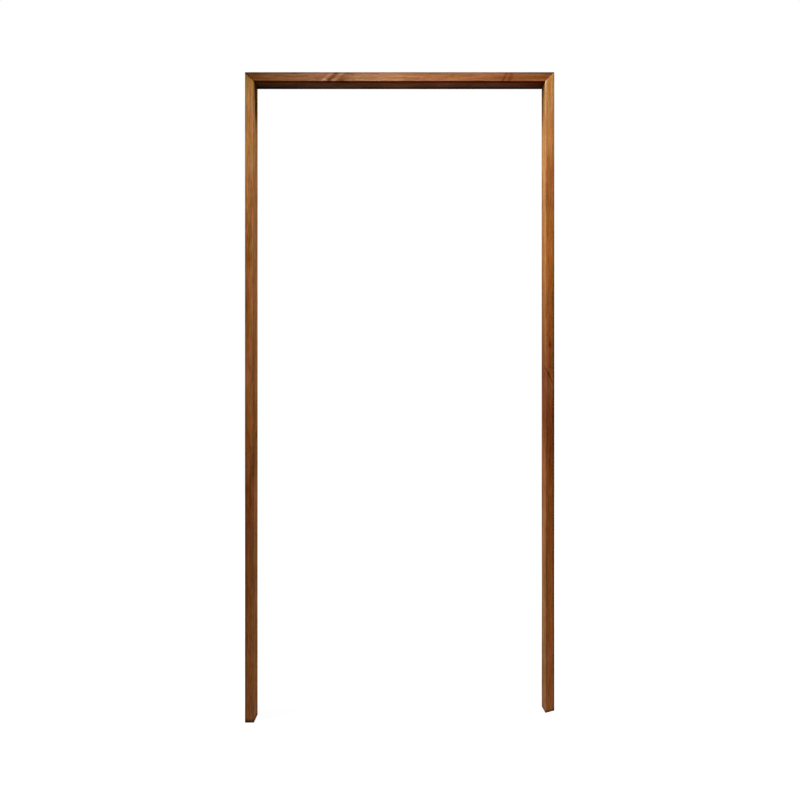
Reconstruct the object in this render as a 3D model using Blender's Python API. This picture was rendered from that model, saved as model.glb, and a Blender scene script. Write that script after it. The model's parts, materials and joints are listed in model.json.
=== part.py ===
"""Mitred MDF door frame with a stained-wood finish.

Two jambs and a head share one rebated section and meet in mitred corners. Two fluted dowels line up
each corner, and two countersunk screws draw it tight, driven through the wall side of the jamb into the
end of the head. The face seen from the room looks to -Y, the door leaf closes into the rebate on the +Y
side, and +Z is up. The origin is at floor level, in the middle of the frame's width and depth.
"""

import math

import bmesh
import bpy
from mathutils import Matrix, Vector

# Overall size of the frame, in metres like every length here
OUTER_WIDTH = 0.956
OUTER_HEIGHT = 2.010

# Section of the boards
BOARD_THICKNESS = 0.028
FRAME_DEPTH = 0.132
REBATE_WIDTH = 0.036
REBATE_DEPTH = 0.010

# Rounding of the section's edges
DOORWAY_EDGE_RADIUS = 0.003
STOP_EDGE_RADIUS = 0.0015
LEAF_EDGE_RADIUS = 0.002
WALL_EDGE_RADIUS = 0.001
EDGE_ARC_STEPS = 5

# The right jamb was sawn short and off square: its foot rises outwards and drops to the back
RIGHT_FOOT_HEIGHT = 0.030
RIGHT_FOOT_SIDE_ANGLE = math.radians(15.5)
RIGHT_FOOT_BACK_ANGLE = math.radians(2.5)

# Corner joints: the mitre's angle, its glue line, and the clearance round whatever sits in a hole
MITRE_ANGLE = math.radians(45)
GLUE_LINE = 0.0003
HOLE_CLEARANCE = 0.0003

# Fluted dowels, square to the mitre, in the thick part of the section
DOWEL_DIAMETER = 0.006
DOWEL_LENGTH = 0.025
DOWEL_END_CHAMFER = 0.0008
DOWEL_FLUTES = 12
DOWEL_FLUTE_DEPTH = 0.0002
DOWEL_FROM_STOP_EDGES = 0.011

# Countersunk screws, one in the thick part of the section and one behind the rebate
SCREW_SHANK_DIAMETER = 0.004
SCREW_LENGTH = 0.060
SCREW_POINT_LENGTH = 0.006
SCREW_HEAD_DIAMETER = 0.008
SCREW_HEAD_RIM = 0.0004
SCREW_SUNK_BY = 0.0005
SCREW_HOLE_OVERSHOOT = 0.002
SCREW_SIDES = 24

# The cross recess in a screw's head, which narrows on its way down
RECESS_ARM_LENGTH = 0.0020
RECESS_ARM_WIDTH = 0.0010
RECESS_DEPTH = 0.0018
RECESS_TAPER = 0.45

# Fineness of the meshes
MERGE_DISTANCE = 0.000001
SHARP_EDGE_ANGLE = math.radians(35)

# Worked out from the sizes above
HALF_WIDTH = OUTER_WIDTH / 2
FRONT_Y = -FRAME_DEPTH / 2
BACK_Y = FRAME_DEPTH / 2
STOP_Y = BACK_Y - REBATE_WIDTH
LEAF_SIDE_THICKNESS = BOARD_THICKNESS - REBATE_DEPTH
LEFT, RIGHT = -1, 1
ALONG_HEAD = Vector((1, 0, 0))
UP = Vector((0, 0, 1))
FLOOR = (Vector((0, 0, 0)), UP)


def material(name, colour, roughness, metallic=0.0):
    """A Principled BSDF material of one plain colour."""
    made = bpy.data.materials.new(name)
    made.use_nodes = True
    shader = made.node_tree.nodes["Principled BSDF"]
    shader.inputs["Base Color"].default_value = (*colour, 1.0)
    shader.inputs["Roughness"].default_value = roughness
    shader.inputs["Metallic"].default_value = metallic
    return made


def wood_finish():
    """The stained and lacquered wood-grain finish of the boards."""
    return material("wood_grain_finish", (0.262, 0.098, 0.023), 0.42)


def zinc_plated_steel():
    """The screws' metal."""
    return material("zinc_plated_steel", (0.62, 0.60, 0.55), 0.35, 1.0)


def beech():
    """The dowels' wood."""
    return material("beech", (0.62, 0.42, 0.24), 0.7)


def finished_mesh(name, shape, finish):
    """Turns a bmesh into a mesh with its faces outwards, shaded smooth up to its sharp edges."""
    bmesh.ops.recalc_face_normals(shape, faces=shape.faces)
    mesh = bpy.data.meshes.new(name)
    shape.to_mesh(mesh)
    shape.free()
    mesh.materials.append(finish)
    mesh.shade_smooth()
    mesh.set_sharp_from_angle(angle=SHARP_EDGE_ANGLE)
    return mesh


def place(name, mesh, parent, location, rotation=(0, 0, 0)):
    """Puts a mesh into the scene as an object of its own, under its parent."""
    made = bpy.data.objects.new(name, mesh)
    made.parent = parent
    made.location = location
    made.rotation_euler = rotation
    bpy.context.scene.collection.objects.link(made)
    return made


def rounded_outline(corners):
    """The points of a closed outline whose corners, each (point, radius), are rounded with arcs."""
    points = []
    for i, (corner, radius) in enumerate(corners):
        if radius <= 0:
            points.append(corner)
            continue
        to_last = (corners[i - 1][0] - corner).normalized()
        to_next = (corners[(i + 1) % len(corners)][0] - corner).normalized()
        half_angle = to_last.angle(to_next) / 2
        centre = corner + (to_last + to_next).normalized() * radius / math.sin(half_angle)
        reach = radius / math.tan(half_angle)
        start = corner + to_last * reach - centre
        end = corner + to_next * reach - centre
        for step in range(EDGE_ARC_STEPS + 1):
            spoke = start.slerp(end, step / EDGE_ARC_STEPS).normalized()
            points.append(centre + spoke * radius)
    return points


def section_outline():
    """The boards' section: x is the distance in from the wall side, y the place along the depth."""
    stop_radius = min(STOP_EDGE_RADIUS, REBATE_DEPTH / 2)
    return rounded_outline(
        [
            (Vector((0, FRONT_Y)), WALL_EDGE_RADIUS),
            (Vector((BOARD_THICKNESS, FRONT_Y)), DOORWAY_EDGE_RADIUS),
            (Vector((BOARD_THICKNESS, STOP_Y)), stop_radius),
            (Vector((LEAF_SIDE_THICKNESS, STOP_Y)), 0),
            (Vector((LEAF_SIDE_THICKNESS, BACK_Y)), LEAF_EDGE_RADIUS),
            (Vector((0, BACK_Y)), WALL_EDGE_RADIUS),
        ]
    )


def onto_plane(point, direction, plane):
    """Slides a point along a direction until it lies on the plane, given as (point, normal)."""
    on_plane, normal = plane
    return point + direction * ((on_plane - point).dot(normal) / direction.dot(normal))


def new_verts(extruded):
    """The vertices among what an extrusion made."""
    return [item for item in extruded["geom"] if isinstance(item, bmesh.types.BMVert)]


def board(name, ring, direction, start, end, finish, parent):
    """A board with the section's ring of points, run along a direction between two cutting planes.

    Its origin is where the first point of the ring meets the start plane.
    """
    shape = bmesh.new()
    origin = onto_plane(ring[0], direction, start)
    corners = [shape.verts.new(onto_plane(point, direction, start) - origin) for point in ring]
    section = shape.faces.new(corners)
    for vert in new_verts(bmesh.ops.extrude_face_region(shape, geom=[section])):
        vert.co = onto_plane(vert.co + origin, direction, end) - origin
    return place(name, finished_mesh(name, shape, finish), parent, origin)


def mitre_plane(side, shift):
    """A corner's mitre as (point, normal), with the normal to the head, moved that way by shift."""
    normal = Vector((-side * math.sin(MITRE_ANGLE), 0, math.cos(MITRE_ANGLE)))
    return Vector((side * HALF_WIDTH, 0, OUTER_HEIGHT)) + normal * shift, normal


def right_foot_plane():
    """The skewed saw cut that ends the right jamb, through its inner front corner."""
    inner_front = Vector((HALF_WIDTH - BOARD_THICKNESS, FRONT_Y, RIGHT_FOOT_HEIGHT))
    rise = math.tan(RIGHT_FOOT_SIDE_ANGLE)
    drop = math.tan(RIGHT_FOOT_BACK_ANGLE)
    return inner_front, Vector((-rise, drop, 1)).normalized()


def jamb(name, side, foot, finish, parent):
    """An upright, from its foot's cutting plane to the mitre under the head."""
    ring = [Vector((side * (HALF_WIDTH - p.x), p.y, 0)) for p in section_outline()]
    top = mitre_plane(side, -GLUE_LINE / 2)
    return board(name, ring, UP, foot, top, finish, parent)


def head(finish, parent):
    """The top board, between the two mitres."""
    ring = [Vector((0, p.y, OUTER_HEIGHT - p.x)) for p in section_outline()]
    ends = [mitre_plane(side, GLUE_LINE / 2) for side in (LEFT, RIGHT)]
    return board("head", ring, ALONG_HEAD, *ends, finish, parent)


def turned(profile, sides):
    """A bmesh turned about Z from a profile of (radius, height) points that starts and ends on the axis."""
    shape = bmesh.new()
    verts = [shape.verts.new((radius, 0, height)) for radius, height in profile]
    edges = [shape.edges.new(pair) for pair in zip(verts, verts[1:])]
    bmesh.ops.spin(
        shape,
        geom=verts + edges,
        cent=(0, 0, 0),
        axis=(0, 0, 1),
        angle=2 * math.pi,
        steps=sides,
    )
    bmesh.ops.remove_doubles(shape, verts=shape.verts, dist=MERGE_DISTANCE)
    return shape


def dowel_shape():
    """A fluted dowel about its middle: a chamfered pin whose sides dip between the flutes' ridges."""
    radius, half = DOWEL_DIAMETER / 2, DOWEL_LENGTH / 2
    end_radius = radius - DOWEL_END_CHAMFER
    shoulder = half - DOWEL_END_CHAMFER
    profile = [(0, half), (end_radius, half), (radius, shoulder), (radius, -shoulder)]
    profile += [(end_radius, -half), (0, -half)]
    shape = turned(profile, 2 * DOWEL_FLUTES)
    dip = 1 - DOWEL_FLUTE_DEPTH / radius
    for vert in shape.verts:
        turns = round(math.atan2(vert.co.y, vert.co.x) / (math.pi / DOWEL_FLUTES))
        on_side = math.hypot(vert.co.x, vert.co.y) > end_radius + MERGE_DISTANCE
        if on_side and turns % 2:
            vert.co.x *= dip
            vert.co.y *= dip
    return shape


def dowel_hole_shape():
    """The round hole that a dowel sits in, in both boards."""
    radius = DOWEL_DIAMETER / 2 + HOLE_CLEARANCE
    half = DOWEL_LENGTH / 2 + HOLE_CLEARANCE
    return turned([(0, half), (radius, half), (radius, -half), (0, -half)], 2 * DOWEL_FLUTES)


def screw_profile(clearance):
    """A countersunk screw's profile below its top, which is at height 0, grown by the clearance."""
    shank = SCREW_SHANK_DIAMETER / 2 + clearance
    rim = SCREW_HEAD_DIAMETER / 2 + clearance
    cone_top = -SCREW_HEAD_RIM - clearance
    cone_bottom = cone_top - (rim - shank)
    point = -SCREW_LENGTH + SCREW_POINT_LENGTH
    tip = -SCREW_LENGTH - clearance
    return [(rim, cone_top), (shank, cone_bottom), (shank, point), (0, tip)]


def screw_shape():
    """The screw itself, before its cross recess is cut."""
    rim = SCREW_HEAD_DIAMETER / 2
    return turned([(0, 0), (rim, 0), *screw_profile(0)], SCREW_SIDES)


def screw_hole_shape():
    """The countersunk hole that the screw sits in, open past the board's wall side."""
    rim = SCREW_HEAD_DIAMETER / 2 + HOLE_CLEARANCE
    mouth = SCREW_SUNK_BY + SCREW_HOLE_OVERSHOOT
    return turned([(0, mouth), (rim, mouth), *screw_profile(HOLE_CLEARANCE)], SCREW_SIDES)


def recess_shape():
    """The tapered cross that a driver fits: its stated size at the screw's top, narrower below."""
    arm, half = RECESS_ARM_LENGTH, RECESS_ARM_WIDTH / 2
    quarter = [(arm, -half), (arm, half), (half, half)]
    turns = [Matrix.Rotation(math.radians(90 * i), 2) for i in range(4)]
    outline = [turn @ Vector(point) for turn in turns for point in quarter]
    shape = bmesh.new()
    above = 1 + RECESS_TAPER
    below = 1 - RECESS_TAPER
    top = shape.faces.new([shape.verts.new((p.x * above, p.y * above, RECESS_DEPTH)) for p in outline])
    for vert in new_verts(bmesh.ops.extrude_face_region(shape, geom=[top])):
        vert.co.x *= below / above
        vert.co.y *= below / above
        vert.co.z = -RECESS_DEPTH
    return shape


def cutter(name, mesh, parent, location, rotation):
    """Places a helper that is cut away from others and never shown."""
    made = place(name, mesh, parent, location, rotation)
    made.hide_render = True
    made.display_type = "WIRE"
    return made


def cut(target, tool):
    """Takes the tool away from the target with a Boolean that stays live."""
    boolean = target.modifiers.new("cut_" + tool.name, "BOOLEAN")
    boolean.operation = "DIFFERENCE"
    boolean.solver = "EXACT"
    boolean.object = tool


def dowel_depths():
    """Places along Y of a corner's two dowels, each the same way in from an edge of the thick part."""
    return FRONT_Y + DOWEL_FROM_STOP_EDGES, STOP_Y - DOWEL_FROM_STOP_EDGES


def screw_places():
    """(Y, distance below the top) of a corner's screws, each in the middle of the board there."""
    return (
        ((FRONT_Y + STOP_Y) / 2, BOARD_THICKNESS / 2),
        ((STOP_Y + BACK_Y) / 2, LEAF_SIDE_THICKNESS / 2),
    )


def fit_dowels(corner, side, boards, mesh, hole_mesh, parent):
    """Puts a corner's dowels across its mitre, and drills both boards for them."""
    inset = BOARD_THICKNESS / 2
    tilt = (0, -side * MITRE_ANGLE, 0)
    for number, depth in enumerate(dowel_depths(), 1):
        spot = (side * (HALF_WIDTH - inset), depth, OUTER_HEIGHT - inset)
        name = f"{corner}_dowel_{number}"
        place(name, mesh, parent, spot, tilt)
        hole = cutter(name + "_hole", hole_mesh, parent, spot, tilt)
        for piece in boards:
            cut(piece, hole)


def fit_screws(corner, side, boards, mesh, hole_mesh, recess_mesh, parent):
    """Drives a corner's screws in from the jamb's wall side, and drills both boards for them."""
    heading = (0, side * math.radians(90), 0)
    for number, (depth, below_top) in enumerate(screw_places(), 1):
        spot = (side * (HALF_WIDTH - SCREW_SUNK_BY), depth, OUTER_HEIGHT - below_top)
        name = f"{corner}_screw_{number}"
        screw = place(name, mesh, parent, spot, heading)
        cut(screw, cutter(name + "_recess", recess_mesh, parent, spot, heading))
        hole = cutter(name + "_hole", hole_mesh, parent, spot, heading)
        for piece in boards:
            cut(piece, hole)


def main():
    for old in list(bpy.data.objects):
        bpy.data.objects.remove(old)

    frame = bpy.data.objects.new("door_frame", None)
    bpy.context.scene.collection.objects.link(frame)

    finish = wood_finish()
    left_jamb = jamb("left_jamb", LEFT, FLOOR, finish, frame)
    right_jamb = jamb("right_jamb", RIGHT, right_foot_plane(), finish, frame)
    top_board = head(finish, frame)

    wood = beech()
    dowel = finished_mesh("dowel", dowel_shape(), wood)
    dowel_hole = finished_mesh("dowel_hole", dowel_hole_shape(), wood)

    steel = zinc_plated_steel()
    screw = finished_mesh("screw", screw_shape(), steel)
    screw_hole = finished_mesh("screw_hole", screw_hole_shape(), steel)
    recess = finished_mesh("screw_recess", recess_shape(), steel)

    for corner, side, upright in (("left", LEFT, left_jamb), ("right", RIGHT, right_jamb)):
        boards = (upright, top_board)
        fit_dowels(corner, side, boards, dowel, dowel_hole, frame)
        fit_screws(corner, side, boards, screw, screw_hole, recess, frame)


main()
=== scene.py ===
"""Looks of the mitred door frame: fine boards, threaded screws, wood and steel, light and camera.

The frame stands as it is fixed: jambs along Z, the room face to -Y, the rebate for the leaf to +Y.
Sizes are in metres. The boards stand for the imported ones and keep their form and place.
"""

import json
import math
from collections import namedtuple

import bmesh
import bpy
from mathutils import Matrix, Vector, noise


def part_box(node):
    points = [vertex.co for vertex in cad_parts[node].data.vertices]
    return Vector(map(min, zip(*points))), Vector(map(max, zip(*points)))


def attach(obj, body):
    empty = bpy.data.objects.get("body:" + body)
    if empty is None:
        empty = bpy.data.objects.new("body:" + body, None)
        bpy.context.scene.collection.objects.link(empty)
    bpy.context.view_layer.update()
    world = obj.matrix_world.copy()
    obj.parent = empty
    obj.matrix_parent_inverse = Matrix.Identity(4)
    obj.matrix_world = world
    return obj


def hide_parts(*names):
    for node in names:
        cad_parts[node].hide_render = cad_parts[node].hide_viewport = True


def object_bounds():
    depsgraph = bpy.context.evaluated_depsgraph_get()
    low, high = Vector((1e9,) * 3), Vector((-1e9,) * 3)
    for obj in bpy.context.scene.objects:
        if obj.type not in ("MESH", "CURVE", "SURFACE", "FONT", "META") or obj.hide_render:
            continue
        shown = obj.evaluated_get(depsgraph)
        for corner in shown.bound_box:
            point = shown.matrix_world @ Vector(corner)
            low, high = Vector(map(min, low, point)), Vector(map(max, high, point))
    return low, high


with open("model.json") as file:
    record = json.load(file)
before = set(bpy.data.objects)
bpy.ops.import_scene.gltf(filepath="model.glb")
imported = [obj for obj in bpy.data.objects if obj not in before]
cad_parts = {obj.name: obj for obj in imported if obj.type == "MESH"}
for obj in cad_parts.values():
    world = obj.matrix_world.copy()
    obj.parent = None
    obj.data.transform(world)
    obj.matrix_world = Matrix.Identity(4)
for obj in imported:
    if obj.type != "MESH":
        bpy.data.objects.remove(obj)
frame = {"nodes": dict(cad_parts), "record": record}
cad_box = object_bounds()

LEFT, RIGHT = -1, 1
ALONG_HEAD = Vector((1, 0, 0))
UP = Vector((0, 0, 1))


def mount_place(name):
    """Where one of the record's mounts is."""
    return next(Vector(mount["pos_m"]) for mount in frame["record"]["mounts"] if mount["name"] == name)


# Sizes of the boards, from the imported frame
HALF_WIDTH = cad_box[1].x
FRONT_Y, BACK_Y = cad_box[0].y, cad_box[1].y
TOP_Z = cad_box[1].z
BOARD_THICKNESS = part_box("left_jamb")[1].x + HALF_WIDTH
STOP_Y = mount_place("left_leaf_stop").y
LEAF_SIDE_THICKNESS = HALF_WIDTH + mount_place("left_hinge_or_strike_face").x
STOP_DEPTH = STOP_Y - FRONT_Y

# Rounding of the section's edges, and the fillet in the rebate's corner
DOORWAY_EDGE_RADIUS = 0.003
STOP_EDGE_RADIUS = 0.0015
LEAF_EDGE_RADIUS = 0.002
WALL_EDGE_RADIUS = 0.001
REBATE_FILLET = 0.0004
EDGE_ARC_STEPS = 8

# The finish laps round onto the wall side, where the bare board lies this much lower
FINISH_LAP = 0.009
FINISH_THICKNESS = 0.0003

# Cuts at the boards' ends: mitres with a glue line, and the right jamb's skewed foot
MITRE_ANGLE = math.radians(45)
GLUE_LINE = 0.0003
RIGHT_FOOT_HEIGHT = 0.030
RIGHT_FOOT_SIDE_ANGLE = math.radians(15.5)
RIGHT_FOOT_BACK_ANGLE = math.radians(2.5)
MITRE_BEVEL = 0.00035
FOOT_BEVEL = 0.0006
FOOT_BEVEL_SPREAD = 0.0008
FOOT_CHIP_SIZE = 0.004

# Spacing of the boards' mesh, and how uneven sanding left their faces
ACROSS_STEP = 0.005
ALONG_STEP = 0.012
UNEVENNESS = 0.00008
UNEVEN_ALONG = 0.06
UNEVEN_ACROSS = 0.015

# Dowels and screws, with the clearance round them in their holes
HOLE_CLEARANCE = 0.0003
HOLE_OVERSHOOT = 0.002
DOWEL_RADIUS = 0.003
DOWEL_HALF_LENGTH = 0.0125
DOWEL_FROM_STOP_EDGES = 0.011
SCREW_LENGTH = 0.060
SCREW_RADIUS = 0.002
SCREW_CORE_RADIUS = 0.0013
SCREW_NECK_RADIUS = 0.0015
SCREW_HEAD_RADIUS = 0.004
SCREW_HEAD_RIM = 0.0004
SCREW_NECK_LENGTH = 0.014
SCREW_POINT_LENGTH = 0.006
SCREW_SUNK_BY = 0.0005
THREAD_PITCH = 0.0018
THREAD_ROWS_PER_TURN = 10
THREAD_CREST = 0.25
RECESS_ARM_LENGTH = 0.0020
RECESS_ARM_WIDTH = 0.0010
RECESS_DEPTH = 0.0018
RECESS_TAPER = 0.45
TURNED_SIDES = 40

# Rings of the wood: their middle outside the board, and where in each ring the late wood lies
RINGS_PER_METRE = 430.0
RING_DRIFT = 10.0
PITH_ACROSS = 0.035
PITH_DEPTH = 0.130
GRAIN_SWAY = 0.012
LATE_WOOD_FROM = 0.20
LATE_WOOD_FULL = 0.88
LATE_WOOD_ENDS = 0.92

# Noises in the wood: their grains per metre across the board, in its depth and along it
SWAY_GRAINS = (8.0, 8.0, 6.0)
DRIFT_GRAINS = (9.0, 9.0, 1.3)
FIGURE_GRAINS = (24.0, 10.0, 3.0)
STREAK_GRAINS = (240.0, 120.0, 5.0)
FIBRE_GRAINS = (1500.0, 1500.0, 24.0)
PORE_GRAINS = (900.0, 900.0, 60.0)
REDDER_GRAINS = (36.0, 12.0, 5.0)
YELLOWER_GRAINS = (30.0, 12.0, 6.0)
PORE_FROM = 0.60
PORE_FULL = 0.72

# Brightness of the stain in the early wood, and how much the late wood and each noise change it
EARLY_WOOD_SHADE = 1.05
LATE_WOOD_SHADE = -0.15
FIGURE_SWING = 2.5
STREAK_SWING = 0.7
FIBRE_SWING = 0.35
PORE_SWING = -0.10
DARKEST_SHADE = 0.12

# Knots: how far they push the rings, their shares of length and depth, and how small their hearts are
KNOT_PUSH = 2.4
KNOT_ALONG = 0.6
KNOT_DEPTH = 0.4
HEART_SHARPNESS = 7.0
STROKE_DEPTH = 0.02

# Hue: its swings, how steeply green and blue follow the brightness, and how they fade on darker edges and
# ends
HUE_SWING = 0.75
YELLOW_SWING = 2.6
SIDE_SWING = 0.45
SWING_FADES_BY = 0.012
GREEN_POWER = 1.3
BLUE_POWER = 1.9
DARKENED_GREEN_POWER = 0.8
DARKENED_BLUE_POWER = 0.55
RED_STAIN = (0.70, 0.30, 0.08, 1.0)

# The finish's roughness and relief
WOOD_ROUGHNESS = 0.60
LATE_WOOD_ROUGHNESS = -0.08
STREAK_ROUGHNESS = 0.3
LATE_WOOD_RELIEF = 0.5
FIBRE_RELIEF = 0.7
PORE_RELIEF = -0.6
RELIEF_HEIGHT = 0.00012
RELIEF_STRENGTH = 0.6

# Depths behind the room face between which the side's own tone shows
SIDE_TONE_FULL = 0.0015
SIDE_TONE_ENDS = 0.001

# The painted highlight on the arris: distances from the doorway over the face, and depths behind the face
ARRIS_FROM = 0.0065
ARRIS_FULL = 0.0030
ARRIS_FADES_FROM = 0.0015
ARRIS_ENDS = 0.0080

# The red line behind the arris: depths behind the face, and its distance round the arris
LINE_FULL = 0.0010
LINE_FADES_FROM = 0.0170
LINE_ENDS = 0.0240
LINE_ROUND_ARRIS = 0.004

# Painted shade by the leaf's stop: distances from the doorway, and shares of the depth to the leaf's stop
STOP_SHADE_FROM = 0.0060
STOP_SHADE_FULL = 0.0020
STOP_SHADE_DEPTH_FROM = 0.66
STOP_SHADE_DEPTH_FULL = 0.86

# The darker wall edge: distances in from the wall side
WALL_EDGE_DARK_FULL = 0.0010
WALL_EDGE_DARK_ENDS = 0.0090

# Noises of the bare board, the zinc and the beech, in grains per metre
BOARD_FIBRE_GRAINS = (900.0, 900.0, 900.0)
BOARD_CLOUD_GRAINS = (45.0, 45.0, 12.0)
BOARD_FIBRE_SHARE = 0.7
BOARD_CLOUD_SHARE = 0.3
ZINC_PATCH_GRAINS = (400.0, 400.0, 400.0)
BEECH_FLECK_GRAINS = (1200.0, 1200.0, 400.0)

# Camera, floor and studio
CAMERA_PLACE = (0.0011, -3.720, 0.997)
CAMERA_LENS = 53.23
CAMERA_SENSOR = 36.0
FLOOR_RADIUS = 9.0
FLOOR_SIDES = 96
FLOOR_COLOUR = 0.15
WHITE = (1, 1, 1, 1)
FLOOR_WHITENING = 0.90
FLOOR_WHITE_FROM = 1.2
FLOOR_WHITE_AT = 3.0
SKY_LIGHT = 0.42
GROUND_LIGHT = 0.04
GROUND_BELOW = -0.3
SKY_ABOVE = 0.3

MERGE_DISTANCE = 0.000001
SHARP_EDGE_ANGLE = math.radians(40)

# Which sockets of a colour mix node hold its factor, its two colours and its result
MIX_FACTOR, MIX_FIRST, MIX_SECOND = 0, 6, 7
MIX_RESULT = 2

# How a board ends: the cut's plane, its bevel, how much wider chips make that, and if the bevel is bare
End = namedtuple("End", "plane bevel spread bare")


def srgb(red, green, blue):
    """A colour given as 0 to 255 screen values, as linear RGBA."""
    linear = []
    for value in (red / 255, green / 255, blue / 255):
        linear.append(value / 12.92 if value <= 0.04045 else ((value + 0.055) / 1.055) ** 2.4)
    return (*linear, 1.0)


class Nodes:
    """A node tree in the making, with short ways to add nodes and join them."""

    def __init__(self, tree):
        self.tree = tree

    def node(self, kind, **settings):
        """A new node with some of its settings changed."""
        made = self.tree.nodes.new(kind)
        for name, value in settings.items():
            setattr(made, name, value)
        return made

    def plug(self, socket, value):
        """Joins an input to another node's output, or sets it to a value."""
        if isinstance(value, bpy.types.NodeSocket):
            self.tree.links.new(value, socket)
        else:
            socket.default_value = value

    def result(self, kind, *values, **settings):
        """The first output of a new node whose first inputs are given."""
        made = self.node(kind, **settings)
        for socket, value in zip(made.inputs, values):
            self.plug(socket, value)
        return made.outputs[0]

    def math(self, operation, *values):
        """One step of arithmetic."""
        return self.result("ShaderNodeMath", *values, operation=operation)

    def add(self, first, second):
        return self.math("ADD", first, second)

    def times(self, first, second):
        return self.math("MULTIPLY", first, second)

    def minus(self, first, second):
        return self.math("SUBTRACT", first, second)

    def around(self, value, spread):
        """A noise value as a swing about 0 that is spread wide."""
        return self.times(self.minus(value, 0.5), spread)

    def between(self, value, low, high, start=0.0, end=1.0, kind="SMOOTHSTEP"):
        """Maps value from low..high to start..end, with soft ends unless kind is LINEAR."""
        return self.result("ShaderNodeMapRange", value, low, high, start, end, interpolation_type=kind)

    def bell(self, value, middle, width):
        """1 where value is at the middle, falling away softly over the width."""
        far = self.times(self.minus(value, middle), 1 / width)
        return self.math("EXPONENT", self.times(self.times(far, far), -1.0))

    def mix(self, factor, first, second, blend="MIX"):
        """Blends two colours."""
        made = self.node("ShaderNodeMix", data_type="RGBA", blend_type=blend)
        self.plug(made.inputs[MIX_FACTOR], factor)
        self.plug(made.inputs[MIX_FIRST], first)
        self.plug(made.inputs[MIX_SECOND], second)
        return made.outputs[MIX_RESULT]

    def place(self):
        """The point's place on the object, in metres."""
        return self.node("ShaderNodeTexCoord").outputs["Object"]

    def split(self, vector):
        """The three parts of a vector."""
        made = self.node("ShaderNodeSeparateXYZ")
        self.plug(made.inputs[0], vector)
        return made.outputs

    def join(self, x, y, z):
        """A vector of three parts."""
        return self.result("ShaderNodeCombineXYZ", x, y, z)

    def noise(self, vector, scales, detail=2.0, roughness=0.5):
        """Noise from 0 to 1, with its own number of grains per metre along each part of the vector."""
        stretched = self.node("ShaderNodeVectorMath", operation="MULTIPLY")
        self.plug(stretched.inputs[0], vector)
        stretched.inputs[1].default_value = scales
        made = self.node("ShaderNodeTexNoise")
        self.plug(made.inputs["Vector"], stretched.outputs[0])
        made.inputs["Scale"].default_value = 1.0
        made.inputs["Detail"].default_value = detail
        made.inputs["Roughness"].default_value = roughness
        return made.outputs["Fac"]

    def ramp(self, value, stops):
        """A colour from stops of (place from 0 to 1, colour)."""
        made = self.node("ShaderNodeValToRGB")
        self.plug(made.inputs[0], value)
        elements = made.color_ramp.elements
        while len(elements) < len(stops):
            elements.new(1.0)
        for element, (place, colour) in zip(elements, stops):
            element.position = place
            element.color = colour
        return made.outputs[0]

    def curve(self, value, stops):
        """A number from stops of (place from 0 to 1, number from 0 to 1)."""
        return self.ramp(value, [(place, (level, level, level, 1)) for place, level in stops])

    def seen_directly(self):
        """1 for rays from the camera, mirrored and refracted ones too, and 0 for light on its way."""
        path = self.node("ShaderNodeLightPath")
        seen = path.outputs["Is Camera Ray"]
        for name in ("Is Glossy Ray", "Is Transmission Ray"):
            seen = self.math("MAXIMUM", seen, path.outputs[name])
        return seen


class Surface(Nodes):
    """A material with one Principled shader in the making."""

    def __init__(self, name):
        self.material = bpy.data.materials.new(name)
        self.material.use_nodes = True
        super().__init__(self.material.node_tree)
        self.shader = self.tree.nodes["Principled BSDF"]

    def colour(self, value):
        self.plug(self.shader.inputs["Base Color"], value)

    def roughness(self, value):
        self.plug(self.shader.inputs["Roughness"], value)

    def shine(self, level):
        self.shader.inputs["Specular IOR Level"].default_value = level

    def bump(self, height, distance, strength):
        """Gives the surface fine relief."""
        made = self.node("ShaderNodeBump")
        made.inputs["Strength"].default_value = strength
        made.inputs["Distance"].default_value = distance
        self.plug(made.inputs["Height"], height)
        self.plug(self.shader.inputs["Normal"], made.outputs[0])


# A point's place on a board: how far along it, in from its outer edge, and behind the room face
Grain = namedtuple("Grain", "along across depth")

# How a board looks. Face, side, outer, arris and the stop's painted shade are stops of (place along it,
# value): the stain's tones, partly painted light; how much darker the wall edge is; how strong the
# painted highlight on the arris is; how dark the painted shade by the leaf's stop is. The painted
# highlights at cuts, the shadows and the darkened ends are Cuts. The highlight's tint is what the stain
# is multiplied by at a painted highlight.
Looks = namedtuple(
    "Looks",
    "name measures length seed face side outer arris rubbed red_line pool rubs shadows corners"
    " grime knots strokes",
)
Cut = namedtuple("Cut", "offset along across depth width level")
# A painted shadow under the head: its level, where it fades below the top, its slant, and its depths
Corner = namedtuple("Corner", "level fades_from gone_by slant shallow deep")


def jamb_grain(surface, side):
    """A jamb's own measures: height, distance in from the wall side, depth behind the room face."""
    x, y, z = surface.split(surface.place())
    across = surface.minus(HALF_WIDTH, surface.times(x, float(side)))
    return Grain(z, across, surface.minus(y, FRONT_Y))


def head_grain(surface):
    """The head's own measures: distance from the left end, distance down, depth behind the room face."""
    x, y, z = surface.split(surface.place())
    return Grain(surface.add(x, HALF_WIDTH), surface.minus(TOP_Z, z), surface.minus(y, FRONT_Y))


def swayed(surface, grain, seed):
    """The board's measures with the grain wandering a little across them, and the noises' point."""
    still = surface.join(surface.add(grain.across, seed), grain.depth, grain.along)
    sway = surface.around(surface.noise(still, SWAY_GRAINS), GRAIN_SWAY)
    bent = Grain(grain.along, surface.add(grain.across, sway), surface.add(grain.depth, sway))
    return bent, surface.join(surface.add(bent.across, seed), bent.depth, bent.along)


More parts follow.
